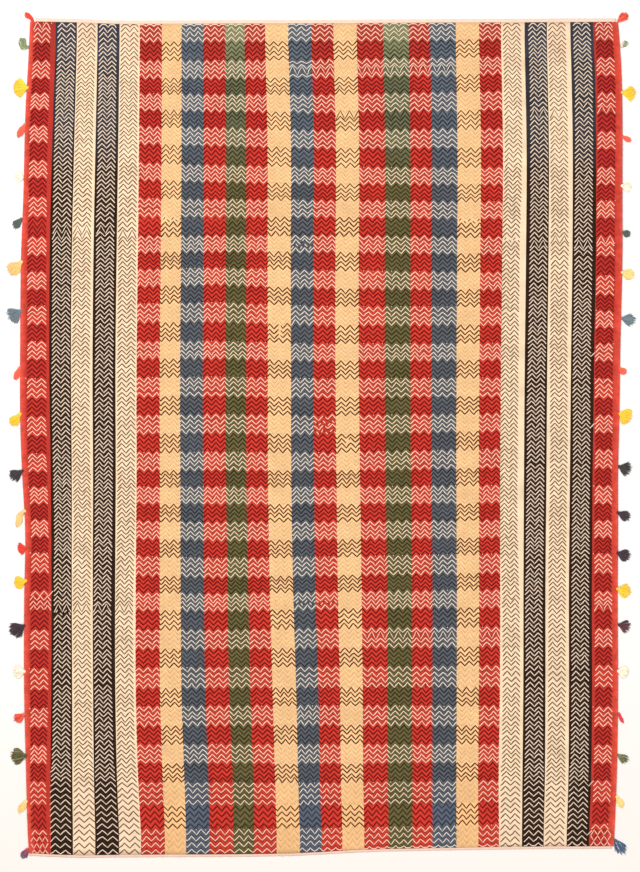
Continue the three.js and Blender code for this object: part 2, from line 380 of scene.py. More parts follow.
def treeNamed(name, inputs):
    # An empty Geometry Nodes tree with named inputs, its node maker and its input node.
    tree = bpy.data.node_groups.new(name, "GeometryNodeTree")
    nodes = Nodes(tree)
    tree.interface.new_socket(name="Geometry", in_out="INPUT", socket_type="NodeSocketGeometry")
    tree.interface.new_socket(name="Geometry", in_out="OUTPUT", socket_type="NodeSocketGeometry")
    for label, kind in inputs:
        tree.interface.new_socket(name=label, in_out="INPUT", socket_type="NodeSocket" + kind)
    return tree, nodes, nodes.add("NodeGroupInput").outputs


def finishTree(nodes, geometry, material):
    # Every tree ends in real geometry with its material.
    smooth = nodes.add("GeometryNodeSetShadeSmooth", {}, {"Geometry": geometry})
    real = nodes.add("GeometryNodeRealizeInstances", {}, {"Geometry": smooth})
    dressed = nodes.add("GeometryNodeSetMaterial", {}, {"Geometry": real, "Material": material})
    nodes.add("NodeGroupOutput", {}, {0: dressed})


def makeSweepTree(name, section, mode, sizes, upright):
    # Sweeps a section along every line of edges, thinner where "thick" is under 1.
    tree, nodes, given = treeNamed(name, [*sizes.values(), ("Material", "Material")])
    curve = nodes.add("GeometryNodeMeshToCurve", {}, {"Mesh": given["Geometry"]})
    profile = nodes.add("GeometryNodeCurvePrimitive" + section, {"mode": mode}, {
        socket: given[label] for socket, (label, kind) in sizes.items()})
    if upright:
        curve = nodes.add("GeometryNodeSetCurveNormal", {"mode": "Z_UP"}, {"Curve": curve})
        nodes.feed(profile.inputs["Offset"], 0.0)
    thick = nodes.add("GeometryNodeInputNamedAttribute", {"data_type": "FLOAT"}, {"Name": "thick"})
    swept = nodes.add("GeometryNodeCurveToMesh", {}, {
        "Curve": curve, "Profile Curve": profile, "Scale": thick, "Fill Caps": True})
    finishTree(nodes, swept, given["Material"])
    return tree


def makeTurnTree():
    # Sweeps an oval yarn along an upright path.
    tree, nodes, given = treeNamed("turn of yarn", [
        ("Wide", "Float"), ("Tall", "Float"), ("Sides", "Int"), ("Material", "Material")])
    curve = nodes.add("GeometryNodeMeshToCurve", {}, {"Mesh": given["Geometry"]})
    circle = nodes.add("GeometryNodeCurvePrimitiveCircle", {"mode": "RADIUS"}, {
        "Resolution": given["Sides"], "Radius": 0.5})
    oval = nodes.add("GeometryNodeTransform", {}, {
        "Geometry": circle, "Scale": nodes.joined(given["Wide"], given["Tall"], 1.0)})
    along = nodes.add("GeometryNodeSetCurveNormal", {"mode": "FREE"}, {
        "Curve": curve, "Normal": (0.0, 1.0, 0.0)})
    yarn = nodes.add("GeometryNodeCurveToMesh", {}, {
        "Curve": along, "Profile Curve": oval, "Fill Caps": True})
    finishTree(nodes, yarn, given["Material"])
    return tree


def makeRowTree():
    # Sets copies of one object at even steps along a line, each a little unlike the next.
    tree, nodes, given = treeNamed("row of copies", [
        ("Step", "Float"), ("Copy", "Object"), ("Uneven", "Float"), ("Lean", "Float"), ("Seed", "Int"),
        ("Material", "Material")])
    curve = nodes.add("GeometryNodeMeshToCurve", {}, {"Mesh": given["Geometry"]})
    even = nodes.add("GeometryNodeCurveToPoints", {"mode": "LENGTH"}, {
        "Curve": curve, "Length": given["Step"]})
    along = nodes.add("FunctionNodeAlignRotationToVector", {"axis": "Y", "pivot_axis": "Z"}, {
        "Vector": even.outputs["Tangent"]})

    def anyFrom(least, most):
        kind = {"data_type": "FLOAT"}
        sockets = {2: least, 3: most, "Seed": given["Seed"]}
        return nodes.add("FunctionNodeRandomValue", kind, sockets).outputs[1]

    lean = anyFrom(Value(nodes, given["Lean"]) * -1.0, given["Lean"])
    turn = nodes.add("FunctionNodeEulerToRotation", {}, {0: nodes.joined(0.0, 0.0, lean)})
    turned = nodes.add("FunctionNodeRotateRotation", {"rotation_space": "LOCAL"}, {
        "Rotation": along, "Rotate By": turn})
    size = anyFrom(1.0 - Value(nodes, given["Uneven"]), 1.0)
    copy = nodes.add("GeometryNodeObjectInfo", {}, {"Object": given["Copy"]})
    row = nodes.add("GeometryNodeInstanceOnPoints", {}, {
        "Points": even.outputs["Points"], "Instance": copy.outputs["Geometry"],
        "Rotation": turned, "Scale": nodes.joined(1.0, 1.0, size)})
    finishTree(nodes, row, given["Material"])
    return tree


yarnTree = makeSweepTree("low yarn", "Quadrilateral", "TRAPEZOID", {
    "Height": ("Tall", "Float"), "Bottom Width": ("Wide", "Float"), "Top Width": ("Top", "Float")}, True)
strandTree = makeSweepTree("round strand", "Circle", "RADIUS", {
    "Resolution": ("Sides", "Int"), "Radius": ("Radius", "Float")}, False)
turnTree = makeTurnTree()
rowTree = makeRowTree()
print("node trees made")


# Materials

def matt(name, roughness=0.92, sheen=0.04, gloss=0.15):
    # A matt shader with its nodes, its colour and normal still to be fed.
    material = bpy.data.materials.new(name)
    material.use_nodes = True
    nodes = Nodes(material.node_tree)
    shader = nodes.add("ShaderNodeBsdfPrincipled", {}, {
        "Roughness": roughness, "Sheen Weight": sheen, "Sheen Roughness": 0.5, "Specular IOR Level": gloss})
    nodes.add("ShaderNodeOutputMaterial", {}, {"Surface": shader})
    return material, nodes, shader


def finishWool(nodes, shader, colour, brightness, height, relief):
    # Feeds the shader its uneven colour and its relief, given as a strength and a depth in metres.
    nodes.feed(shader.inputs["Base Color"], nodes.scaled(colour, brightness))
    bump = nodes.add("ShaderNodeBump", {}, {"Strength": relief[0], "Distance": relief[1], "Height": height})
    nodes.feed(shader.inputs["Normal"], bump)


yarnSides = (0.35, 0.9)  # how level a face of yarn is where it is all side, and where it is all top
strandTones = (0.88, 0.42)  # how bright a strand of tone 0 is, and how much brighter one of tone 1
fuzzShade = 0.3  # how much the short fibres vary the brightness
fuzzLook = {  # their scale, detail and roughness, then their relief
    "yarn": (900.0, 3.0, 0.6, (0.5, 0.0004)),
    "tape": (500.0, 3.0, 0.6, (0.5, 0.0004)),
    "loose": (1100.0, 2.0, 0.5, (0.4, 0.0003)),
}


def finishFuzzy(nodes, shader, colour, brightness, kind):
    # Wool or cotton that short fibres roughen.
    scale, detail, roughness, relief = fuzzLook[kind]
    fuzz = nodes.noise(nodes.objectPlace(), scale, detail, roughness)
    finishWool(nodes, shader, colour, brightness + fuzzShade * (fuzz - 0.5), fuzz, relief)


def makeYarnMaterial(name, colour, uneven=0.24, besideIt=None, kind="yarn"):
    # Spun yarn: its tone wanders along it, and its sides blend with a colour given for what is beside it,
    # which on the pearl yarn is partly painted shade.
    material, nodes, shader = matt(name)
    if besideIt:
        _, _, up = nodes.parts(nodes.add("ShaderNodeNewGeometry").outputs["True Normal"])
        colour = nodes.mixed(nodes.eased(up, *yarnSides), besideIt, colour)
    tone = nodes.noise(nodes.objectPlace(), 70.0, 3.0) - 0.5
    finishFuzzy(nodes, shader, colour, 1.0 + uneven * tone, kind)
    return material


def makeEdgingMaterial():
    # The wrapping's wool is painted brighter at its outer side, where the curved wrap catches the light, and
    # darker towards its inner side, which its "tone" tells: a painted highlight. It is also uneven along the
    # edge.
    look = edgingLook
    material, nodes, shader = matt("edging wool with painted highlight", 0.9, 0.08)
    colour = nodes.mixed(nodes.stored("tone"), look["inner"], look["outer"])
    tone = nodes.noise(nodes.objectPlace(), 60.0, 3.0, 0.6) - 0.5
    finishFuzzy(nodes, shader, colour, 1.0 + look["shade"] * tone, "yarn")
    return material


def makeStrandMaterial(name, colour, second, secondShare):
    # Loose wool: each strand has its own tone, stored on it as "tone", and some are of a second colour.
    material, nodes, shader = matt(name, 0.85, 0.1)
    tone = nodes.stored("tone")
    if secondShare:
        colour = nodes.mixed((tone * 7.3).fraction() < secondShare, colour, second)
    finishFuzzy(nodes, shader, colour, strandTones[0] + strandTones[1] * tone, "loose")
    return material


ground = {  # the ground yarns of the stripes
    "edge": linear(189, 54, 42),
    "navy": linear(42, 25, 14),
    "pale": linear(229, 203, 170),
    "red": linear(182, 55, 41),
    "gold": linear(230, 184, 132),
    "blue": linear(77, 80, 85),
    "green": linear(88, 80, 47),
}

# The same yarns change along the rug: how much more red, green and blue they are at each place.
changes = {
    "far": {"navy": (1.3, 2.9, 7.5), "green": (1.05, 1.3, 1.9), "blue": (1.12, 1.2, 1.3),
            "red": (0.93, 0.88, 0.98), "edge": (0.93, 0.9, 1.0)},
    "end": {"navy": (1.5, 3.9, 12.0), "green": (1.75, 2.2, 3.1), "blue": (1.14, 1.25, 1.35),
            "red": (0.78, 0.9, 1.0), "edge": (0.8, 0.9, 1.0), "pale": (1.0, 0.95, 0.96)},
    "near": {"blue": (0.98, 1.08, 1.3), "gold": (1.0, 0.94, 0.87), "pale": (1.0, 0.98, 1.0),
             "red": (1.03, 1.0, 1.05)},
}

# In the dark bands the red ground is tinted a darker crimson, most of all between the edge stripes' zigzags:
# partly painted shade from the dark zigzags, partly their colour bled in. In the light ones it is a little
# warmer.
crimson = {"centre": (0.98, 0.76, 0.8, 1.0), "edges": (0.73, 0.59, 0.67, 1.0), "light": (1.0, 0.87, 0.8, 1.0)}


def changedBy(where):
    # The ground yarns as they are at the far part, at its end, or at the near end.
    changed = dict(ground)
    for name, much in changes[where].items():
        changed[name] = tuple(a * b for a, b in zip(ground[name], much)) + (1.0,)
    return changed


rampSteps = 32  # a ramp is read in even steps, more of them than there are stripes
outerPhase = 100.0  # the outer stripes' own zigzags are counted from here, well past the centre's

clothLook = {
    "jag": 0.1,  # how far a colour's edge steps aside, in stripes
    "ridgeShade": 0.34,  # painted shade: how much lighter the ground is midway between two lines, and darker beside them
    "lightGap": 0.2,  # how much darker it is in the light bands
    "bandTone": 0.24,
    "wideTone": 0.22,  # how far whole bands differ
    "fleck": (1.0, 330.0),  # how much, then how fine, as all noise here in cells to a metre
    "heather": (0.32, 42.0),
    "grain": (0.3, 35.0, 3.0),  # how much, then the threads of a stripe and of a line
    "margin": 0.87,  # how bright the plain margins of the edge stripes are in the dark bands
    "marginInLight": 0.17,  # how much brighter they are in the light ones
    "isRed": (0.3, 0.1),  # wool with more red and less green than this
    "depth": (1.6, 0.08),  # how much less the relief and its painted shade show on lighter yarns, and how little at least
    "bumps": (0.35, 0.9, 0.4, 700.0),  # of ridges, grain and fibres, and how fine the fibres are
    "relief": (0.6, 0.0006),
    "places": [("far", 0.80, 0.87), ("end", 0.93, 0.98), ("near", 0.09, 0.04)],  # from where to where
}


def stripeRamp(nodes, where, colours):
    # The colour of each stripe, looked up in the middle of even steps of a ramp.
    stops = [(i / rampSteps, colours[name]) for i, name in enumerate(stripeNames)]
    return nodes.add("ShaderNodeValToRGB", {"stops": stops}, {0: where}).outputs[0]


def makeClothMaterial():
    # Woven stripes. The map "OFBake" holds the place across and along, and "zigzag" the zigzag's phase and
    # the place counted in lines.
    look = clothLook
    material, nodes, shader = matt("striped wool cloth", 0.95)
    across, along, _ = nodes.parts(nodes.add("ShaderNodeUVMap", {"uv_map": "OFBake"}))
    phase, line, _ = nodes.parts(nodes.add("ShaderNodeUVMap", {"uv_map": "zigzag"}))
    where = nodes.objectPlace()

    def oddness(x, y, detail):
        return nodes.noise(nodes.joined(x, y), 1.0, detail) - 0.5

    stripe = across * float(len(stripes))
    centre = (stripe > firstCentre - 0.1) * (stripe < lastCentre + 1.1)
    jagged = stripe + oddness(stripe, line * 2.0, 1.0) * centre * look["jag"]
    place = (jagged.floor() + 0.5) * (1 / rampSteps)
    colour = stripeRamp(nodes, place, ground)
    for name, start, full in look["places"]:
        changed = stripeRamp(nodes, place, changedBy(name))
        colour = nodes.mixed(nodes.eased(along, start, full), colour, changed)

    # The zigzag's own height above its line, as 1 at its peaks and -1 at its valleys.
    peaks = 1.0 - 4.0 * phase.pingPong(0.5)
    lineTall = layout["farEdge"] * 2 / lineCount
    sunk = (line + peaks * (zigzagLook["tall"] / lineTall)) * (2 * math.pi)
    onOuter = (phase > outerPhase - 0.5) * (phase < outerPhase + 1.5)
    figured = 1.0 - (phase > outerPhase / 2) * (1.0 - onOuter)
    ridges = sunk.cosine() * figured

    red, green, _ = nodes.parts(colour)
    depth = (1.0 - look["depth"][0] * green).atLeast(look["depth"][1])
    isRed = (red > look["isRed"][0]) * (green < look["isRed"][1])
    inLight = (line * (0.5 / layout["linesInBand"])).fraction() < 0.5
    isEdge = 1.0 - (stripe > 1.0) * (stripe < len(stripes) - 1.0)
    inMargin = isEdge * (1.0 - figured)
    # the dark bands' tint, partly painted shade from the dark zigzags
    deeperAndShaded = nodes.mixed(isEdge, crimson["centre"], crimson["edges"])
    for share, tint in ((1.0 - inLight, deeperAndShaded), (inLight, crimson["light"])):
        tinted = nodes.mixed(1.0, colour, tint, "MULTIPLY")
        colour = nodes.mixed(share * isRed * (1.0 - inMargin), colour, tinted)
    plain = nodes.scaled(colour, look["margin"] + look["marginInLight"] * inLight)
    colour = nodes.mixed(inMargin * isRed, colour, plain)

    bandTone = oddness(stripe * 0.92, line * 0.25 + 3.0, 0.0)
    wideTone = oddness(5.0, line * 0.22, 1.0)
    grain = oddness(stripe * look["grain"][1], line * look["grain"][2], 2.0)
    heather = nodes.noise(where, look["heather"][1], 4.0, 0.6) - 0.5
    fleck = nodes.noise(where, look["fleck"][1], 2.0, 0.7) - 0.5
    # Painted shade: the ground darkens beside the raised lines and lightens midway between them; the same
    # ridges give the bump's relief
    relief = ridges * look["ridgeShade"] - inLight * look["lightGap"] + fleck * look["fleck"][0]
    brightness = (1.0 + depth * relief + depth * wideTone * look["wideTone"] + bandTone * look["bandTone"]
                  + heather * look["heather"][0] + grain * look["grain"][0])
    ofRidges, ofGrain, ofFibres, fine = look["bumps"]
    height = ridges * depth * ofRidges + grain * ofGrain + nodes.noise(where, fine, 2.0) * ofFibres
    finishWool(nodes, shader, colour, brightness, height, look["relief"])
    return material


zigzagLook = {
    "tall": 6.2,  # from the middle of a line to its peaks
    "wide": 2.9,
    "top": 1.6,
    "high": 1.0,
    "proud": 0.3,  # how far a line's middle stands off the cloth's face
    "dip": 0.25,  # how far it sinks at its corners
    "stray": 0.4,  # how far a corner strays
    "riseStray": 0.05,  # in the rise of each peak, and of a whole line
    "asideStray": {"centre": 0.35, "outer": 0.4},
    "lowStray": {"centre": 0.5, "outer": 0.4},  # how far a whole line lies too low or too high
    "endGap": 1.6,  # how near a line comes to the cloth's ends
    "endDip": 0.6,
    "endThick": 0.8,
    "cornerThick": 1.02,
    "climb": (1.0, 3),  # how high over the edging, and within how far
    "uneven": 0.06,  # in its thickness
    "fineFrom": (42, 0.92),  # from this band on the lines are finer
    "brownTo": (8, 0.84),  # before this band the brown lines are finer too
    "darkTo": (10, 0.95, 1.12),  # how thick the dark lines are up to this band, and past it
    "faint": (0.55, 1.0),  # the slate and moss lines
    "centreLight": 0.93,  # the light lines of the centre
    "outer": {"edge": 0.9, "navy": 0.92, "pale": 0.95},
    "slipped": 0.85,  # how much thinner a line is where the weaver slipped
}

yarns = {
    "cream": linear(255, 204, 178),
    "ivory": linear(228, 214, 198),
    "straw": linear(238, 213, 179),
    "pearl": linear(238, 213, 188),
    "gold": linear(229, 188, 137),
    "brown": linear(106, 68, 36),
    "dark": linear(86, 32, 3),
    "maroon": linear(104, 5, 3),
    "slate": linear(31, 34, 39),
    "moss": linear(40, 32, 9),
}
# The colour of a yarn's sides: on the cream the red of the ground beside it, on the pearl a darker
# orange-brown, partly its fuzz and partly painted shade.
besideYarns = {"cream": linear(250, 98, 68), "pearl": linear(160, 120, 96)}

# The yarn of the lines in the dark bands and in the light ones, by the stripe that they cross.
darkYarns = {"red": "maroon", "edge": "maroon", "gold": "dark", "blue": "slate", "green": "moss"}
lightYarns = {"red": "cream", "edge": "cream", "gold": "gold", "blue": "ivory", "green": "straw"}


# The cloth

def setMap(mesh, name, across, along):
    mesh.uv_layers.new(name=name).data.foreach_set("uv", np.stack([across, along], -1).ravel())


def makeCloth():
    # A closed sheet whose columns follow the stripes and whose rows follow the bands.
    columnsInStripe, rowsInBand = 5, 4
    inner = [np.linspace(a, b, columnsInStripe + 1)[:-1] for a, b in zip(stripeEdges[:-1], stripeEdges[1:])]
    nominal = np.concatenate([*inner, [stripeEdges[-1]]])
    for column, share in ((0, 1.0), (1, 0.6)):  # the sheet stops short of the stripes, at the edgings
        nominal[column] += layout["edging"] * share
        nominal[-1 - column] -= layout["edging"] * share
    band = np.linspace(0, bandCount, bandCount * rowsInBand + 1)
    bandGrid, nominalGrid = np.meshgrid(band, nominal, indexing="ij")
    y = alongAt(bandGrid, nominalGrid)
    x = acrossAt(nominalGrid, y)
    for row, beside, out in ((0, 1, 1), (-1, -2, -1)):  # the end rows lie on the cloth's own ends
        end = clothEnd(out, x[row])
        share = (end - y[beside]) / (y[row] - y[beside])
        bandGrid[row] = bandGrid[beside] + share * (bandGrid[row] - bandGrid[beside])
        y[row] = end
        x[row] = acrossAt(nominal, end)
    for column, out in ((0, -1), (-1, 1)):
        x[:, column] = clothSide(out, y[:, column])
    rows, columns = x.shape
    count = rows * columns
    points = [np.stack([x, y, z], -1).reshape(-1, 3) for z in (faceAt(x, y), np.zeros_like(x))]
    corner = (np.arange(rows - 1)[:, None] * columns + np.arange(columns - 1)).ravel()
    quads = np.stack([corner, corner + columns, corner + columns + 1, corner + 1], -1)
    ring = [*range(columns), *range(2 * columns - 1, count, columns),
            *range(count - 2, count - columns - 1, -1), *range(count - 2 * columns, 0, -columns)]
    sides = [(a, b, b + count, a + count) for a, b in zip(ring, ring[1:] + ring[:1])]
    faces = [*quads.tolist(), *(quads[:, ::-1] + count).tolist(), *sides]
    mesh = meshOf("cloth_stripes", np.concatenate(points), (), faces, {}, patternMiddle)

    loops = np.empty(len(mesh.loops), int)
    mesh.loops.foreach_get("vertex_index", loops)
    stripeGrid = np.interp(nominalGrid, stripeEdges, np.arange(len(stripes) + 1))
    nominal, band, stripe = [np.tile(grid.ravel(), 2)[loops] for grid in (nominalGrid, bandGrid, stripeGrid)]
    setMap(mesh, "OFBake", stripe / len(stripes), 1 - band / bandCount)

    # Each face reads the zigzag of its own stripe, so the map is filled face by face.
    inRow = np.repeat(np.arange(len(stripes)), columnsInStripe)
    ofLoop = np.repeat([*np.tile(inRow, 2 * (rows - 1)), *[0] * len(sides)], 4)
    phase = phaseAt(nominal, band)
    for i in outerStarts:
        across = (nominal - outerStartAt(i, band)) / (2 * outerArmAt(i, band))
        phase = np.where(ofLoop == i, outerPhase - 0.5 + across, phase)
    setMap(mesh, "zigzag", phase, band * layout["linesInBand"])
    mesh.shade_smooth()
    mesh.materials.append(makeClothMaterial())
    return objectOf("cloth_stripes", mesh)


# The zigzags

# The centre zigzag's peaks: a phase and the nominal place where it falls. Between peaks it runs evenly.
phaseMarks = [(-2, -476), (0, -432), (5.1, -324.6), (11.4, -185.6), (17.7, -44.3), (22.7, 71.7), (33, 309.6),
              (39, 449), (41, 494)]
markPhases, markPlaces = np.array(phaseMarks, float).T

# The weaver didn't start each run of bands at the same thread: how far the zigzag is shifted to the right.
shiftAt = [-392, -240, -126, 25, 290, 417]
shiftRuns = [  # the band that a run ends at, then the shift at each of those places
    (10, -2.5, -4.5, -4, -2, -1, -4),
    (12, -2.5, -4.5, -6, -4.5, -1, -4),
    (37, 0.5, -2, 1.5, -0.5, -0.5, -4.5),
    (42, 0.5, -2, 4, -9.5, -10, -10),
    (43, 3, 7, 9, -9.5, -11, -11),
    (44, 6.5, 6.5, 11, 9, 9, -1.5),
    (46, 7, 16, 18, 14, 10, -1.5),
]

outerArm = 11.1  # how far across one slope of an outer stripe's zigzag runs
widerBy = 1.4  # how much further near the near end, where a zigzag takes up its whole stripe
widerFrom, widerTo = 40.0, 42.0
outerMargins = {0: 14, 1: 5.5, 2: 4.8, 3: 5.8, 4: 5.8, 21: 3, 22: 6.3, 23: 6.3, 24: 5.3, 25: 3}
outerStarts = {i: stripeEdges[i] + margin for i, margin in outerMargins.items()}

# How far the zigzag of each outer stripe is shifted to the right, down the rug.
asideOf = [0, 1, 2, 3, 4, 21, 22, 23, 24, 25]
asideRows = [  # the band, then the shift in each of those stripes
    (0, -4, 0, -1, -1, -2, 2, 3, -3, 2, 2.5), (3, -1.5, 0, -2.5, -1, -3, 2.5, 5, -2.5, 2.5, 2),
    (8, -1, 0, -3, 0, -2.5, 0.5, 3.5, -2.5, 0.5, 0), (12, 1.5, 1, -3, 0, -2.5, -3.5, 3.5, -0.5, 0, -2),
    (17, 3.5, 1.5, -2, 1.5, -1.5, -4, 2.5, -0.5, 0, -0.5), (21, 3, 0.5, -4, 0, -1.5, -3, 0, 1.5, 0, 0),
    (24, 1.5, 0.5, -3, -1, -2, -3.5, 1, 3, 2.5, 3.5), (28, 3, 3, 0, -1, -1.5, -4, 0, 2, 1.5, 2),
    (33, 3.5, 0.5, -2.5, -4, -5.5, 3, -1.5, 1, 1.5, 4), (38, 2, 0, 0, -1.5, -3.5, 4.5, 0, 0.5, 1, 4),
    (41, -1.5, -2, 1, -1, -4, 5.5, 1, 0, 0, 3.5), (44, -3, -4, 0, 1.5, -3.5, 4, 2, 0, 0, 3),
]


def outerArmAt(i, band):
    wider = 0.0 if stripeNames[i] == "edge" else widerBy
    return outerArm + wider * np.clip((np.asarray(band, float) - widerFrom) / (widerTo - widerFrom), 0, 1)


def outerStartAt(i, band):
    table = np.array(asideRows, float)
    aside = np.interp(band, table[:, 0], table[:, asideOf.index(i) + 1])
    return outerStarts[i] + aside - 2 * (outerArmAt(i, band) - outerArm)


def shiftOf(nominal, band):
    nominal, band = together(nominal, band)
    table = np.array(shiftRuns, float)
    run = np.clip(np.searchsorted(table[:, 0], band, side="right"), 0, len(table) - 1)
    return betweenColumns(shiftAt, table[:, 1:].T[:, run], np.clip(nominal, shiftAt[0], shiftAt[-1]))


def phaseAt(nominal, band):
    return np.interp(nominal - shiftOf(nominal, band), markPlaces, markPhases)


def placeOf(phases, band):
    # The nominal places where phases of the centre zigzag fall in a band.
    nominal = np.interp(phases, markPhases, markPlaces)
    return nominal + shiftOf(nominal, band + 0.5)


# Slips in the weaving, by what went wrong: a band, the numbers of its lines, and the stripes from and to.
slips = {
    "deep": [(0, "0", 0, 0), (0, "0", 25, 25), (2, "2", 12, 18), (4, "3", 25, 25), (5, "0", 14, 18),
             (5, "0", 22, 23), (11, "12", 0, 0), (11, "23", 1, 2), (11, "2", 3, 3), (11, "3", 4, 4),
             (12, "1", 22, 22), (12, "0", 23, 23), (12, "1", 24, 24), (12, "0", 25, 25), (32, "3", 1, 4),
             (32, "3", 25, 25), (34, "1", 15, 20)],
    "low": [(2, "03", 12, 12)],
    "dotted": [(11, "0", 5, 9), (11, "0", 19, 19), (12, "2", 12, 12), (12, "0", 21, 21), (22, "13", 13, 13),
               (32, "2", 12, 13), (33, "0", 1, 1)],
    "broken": [(12, "1", 12, 12), (17, "012", 11, 11), (22, "02", 13, 13), (23, "1", 14, 14)],
    "long": [(18, "2", 24, 24), (22, "2", 24, 24), (32, "0", 0, 0), (42, "0", 24, 24), (44, "1", 24, 24)],
    "latticed": [(32, "123", 0, 0), (44, "13", 0, 0), (44, "13", 25, 25)],
    "latticed over": [(44, "2", 0, 0), (44, "2", 25, 25)],
}
slipTall = {"deep": 1.65, "low": 0.55, "latticed": 1.0, "latticed over": -1.0}
latticeArm, latticeSlopes, latticeAside = 8.7, 6, -2.0
brokenStep = 2.5  # how far the second half of a broken line jumps


def slipAt(band, inBand, i):
    for kind, places in slips.items():
        if any(at == band and str(inBand) in rows and a <= i <= z for at, rows, a, z in places):
            return kind
    return ""


# The light bands over whose first line small cream floats show, and in what share of its valleys.
dotShares = {
    0: 0.3, 10: 0.25, 14: 0.3, 16: 0.65, 18: 0.5, 20: 0.55, 24: 0.4, 26: 0.3, 30: 0.85, 38: 0.5, 42: 0.25,
    44: 0.4,
}
dots = {"elsewhere": 0.04, "half": (0.8, 1.3), "thick": 0.85, "endGap": 2}


class Lines:
    # Polylines gathered into one mesh of edges, with how thick the yarn is at each point.
    def __init__(self):
        self.points = []
        self.edges = []
        self.thick = []

    def add(self, points, thick):
        self.edges.extend(chain(len(thick), len(self.thick)))
        self.points.extend(points)
        self.thick.extend(thick)


def layLine(lines, line, places, rises, ends, lift, low, fine):
    # One run of zigzag yarn along a line of the weave, through nominal places with their rises.
    look = zigzagLook
    band = (line + 0.5) / layout["linesInBand"]
    y = alongAt(band, places) + rises * look["tall"] * (1 + lift) + low
    x = acrossAt(places, y)
    x = x + chance.normal(0, look["stray"], len(x))
    y = y + chance.normal(0, look["stray"], len(y))
    y = np.clip(y, clothEnd(-1, x) + look["endGap"], clothEnd(1, x) - look["endGap"])
    corners = np.abs(rises) > 0.9
    dip = np.where(corners, look["dip"], 0.0)
    if band >= look["fineFrom"][0]:
        fine = fine * look["fineFrom"][1]
    thick = (np.where(corners, look["cornerThick"], 1.0) + chance.normal(0, look["uneven"], len(x))) * fine
    for k, isEnd in zip((0, -1), ends):
        if isEnd:
            dip[k] = look["endDip"]
            thick[k] = look["endThick"]
    z = faceAt(x, y) + look["proud"] - dip
    high, within = look["climb"]
    for out in (-1, 1):  # past the cloth's sides a line climbs over the edging
        z = z + high * np.clip(1 + out * (x - clothSide(out, y)) / within, 0, 1)
    lines.add(np.stack([x, y, z], -1), thick)


def layRuns(lines, line, kind, places, rises, ends, lift, low, fine):
    # A line in one run, or in two or many where the weaver slipped.
    runs = [slice(None)]
    if kind == "broken":
        runs = [slice(0, len(places) // 2), slice(len(places) // 2, None)]
    elif kind == "dotted":
        runs = [slice(k, k + 2) for k in range(1, len(places) - 1, 2)]
    for k, run in enumerate(runs):
        step = brokenStep * k if kind == "broken" else 0.0
        layLine(lines, line, places[run], rises[run], ends, lift, low + step, fine)


def layCentreLine(groups, line):
    # A zigzag right across the centre: cream or dark, but cream lines turn to gold on the gold stripes.
    look = zigzagLook
    band, inBand = divmod(line, layout["linesInBand"])
    phases = np.arange(-2, 40.6, 0.25)
    nominal = placeOf(phases, band)
    rises = np.round(1 - 4 * np.abs(phases - np.round(phases)))
    rises = rises * (1 + chance.normal(0, look["riseStray"], len(rises)))
    nominal = nominal + chance.normal(0, look["asideStray"]["centre"], len(nominal))
    low, lift = chance.normal(0, look["lowStray"]["centre"]), chance.normal(0, look["riseStray"])
    light = band % 2 == 0
    for i in range(firstCentre, lastCentre + 1):
        start, end = stripeEdges[i], stripeEdges[i + 1]
        kind = slipAt(band, inBand, i)
        key = (lightYarns if light else darkYarns)[stripeNames[i]]
        fine = look["centreLight"] if light else 1.0
        if key in ("slate", "moss"):
            fine = fine * chance.uniform(*look["faint"])
        if key == "dark":
            upTo, finer, thicker = look["darkTo"]
            fine = thicker if band > upTo else finer
        if kind in slipTall:
            fine = fine * look["slipped"]
        inside = (nominal > start + 1) & (nominal < end - 1)
        places = np.concatenate([[start], nominal[inside], [end]])
        heights = np.interp(places, nominal, rises) * slipTall.get(kind, 1.0)
        goesOn = not light and not kind
        ends = (not goesOn or i == firstCentre, not goesOn or i == lastCentre)
        layRuns(groups[key], line, kind, places, heights, ends, lift, low, fine)


def layOuterLine(groups, line, i):
    # The two peaks of an outer stripe's zigzag, from a valley, with points at its corners and midway.
    look = zigzagLook
    name = stripeNames[i]
    band, inBand = divmod(line, layout["linesInBand"])
    kind = slipAt(band, inBand, i)
    side = "left" if i < firstCentre else "right"
    edgeKey = "maroon_edges" if band % 2 else "cream"
    key = {"navy": "pearl_" + side, "pale": "brown_" + side, "edge": edgeKey}[name]
    arm = float(outerArmAt(i, band + 0.5))
    start = float(outerStartAt(i, band + 0.5)) + chance.normal(0, look["asideStray"]["outer"])
    slopes = 5 if kind == "long" else 4
    if kind.startswith("latticed"):
        slopes, arm = latticeSlopes, latticeArm
        start = start + latticeAside
    turns = np.arange(2 * slopes + 1)
    nominal = np.linspace(start, start + slopes * arm, len(turns))
    rises = np.where(turns % 2 == 1, 0.0, np.where(turns % 4 == 2, 1.0, -1.0)) * slipTall.get(kind, 1.0)
    lift, low = chance.normal(0, look["riseStray"]), chance.normal(0, look["lowStray"]["outer"])
    fine = look["outer"][name] * (look["slipped"] if kind else 1.0)
    if name == "pale" and band >= look["fineFrom"][0]:
        fine = fine / look["fineFrom"][1]
    if name == "pale" and band < look["brownTo"][0]:
        fine = fine * look["brownTo"][1]
    layRuns(groups[key], line, kind, nominal, rises, (True, True), lift, low, fine)


def layDots(groups, line):
    # Small floats that show in the valleys just above a light band's first line.
    band = line // layout["linesInBand"]
    nominal = placeOf(np.arange(-0.5, 39.6, 1.0), band)
    edges = [outerStarts[i] + outerArm * k for i in (0, len(stripes) - 1) for k in (0, 2, 4)]
    for place in [*nominal, *edges]:
        name = stripeNames[int(np.searchsorted(stripeEdges, place)) - 1]
        if name in ("gold", "pale", "navy") or chance.random() > dotShares.get(band, dots["elsewhere"]):
            continue
        y = alongAt(band + 0.5 / layout["linesInBand"], [place])[0] + zigzagLook["tall"]
        x = acrossAt([place], y)[0]
        z = faceAt(x, y) + zigzagLook["proud"]
        half = chance.uniform(*dots["half"])
        y = min(y, clothEnd(1, x) - dots["endGap"] - half)
        groups[lightYarns[name]].add([(x, y + half, z), (x, y - half, z)], [dots["thick"]] * 2)


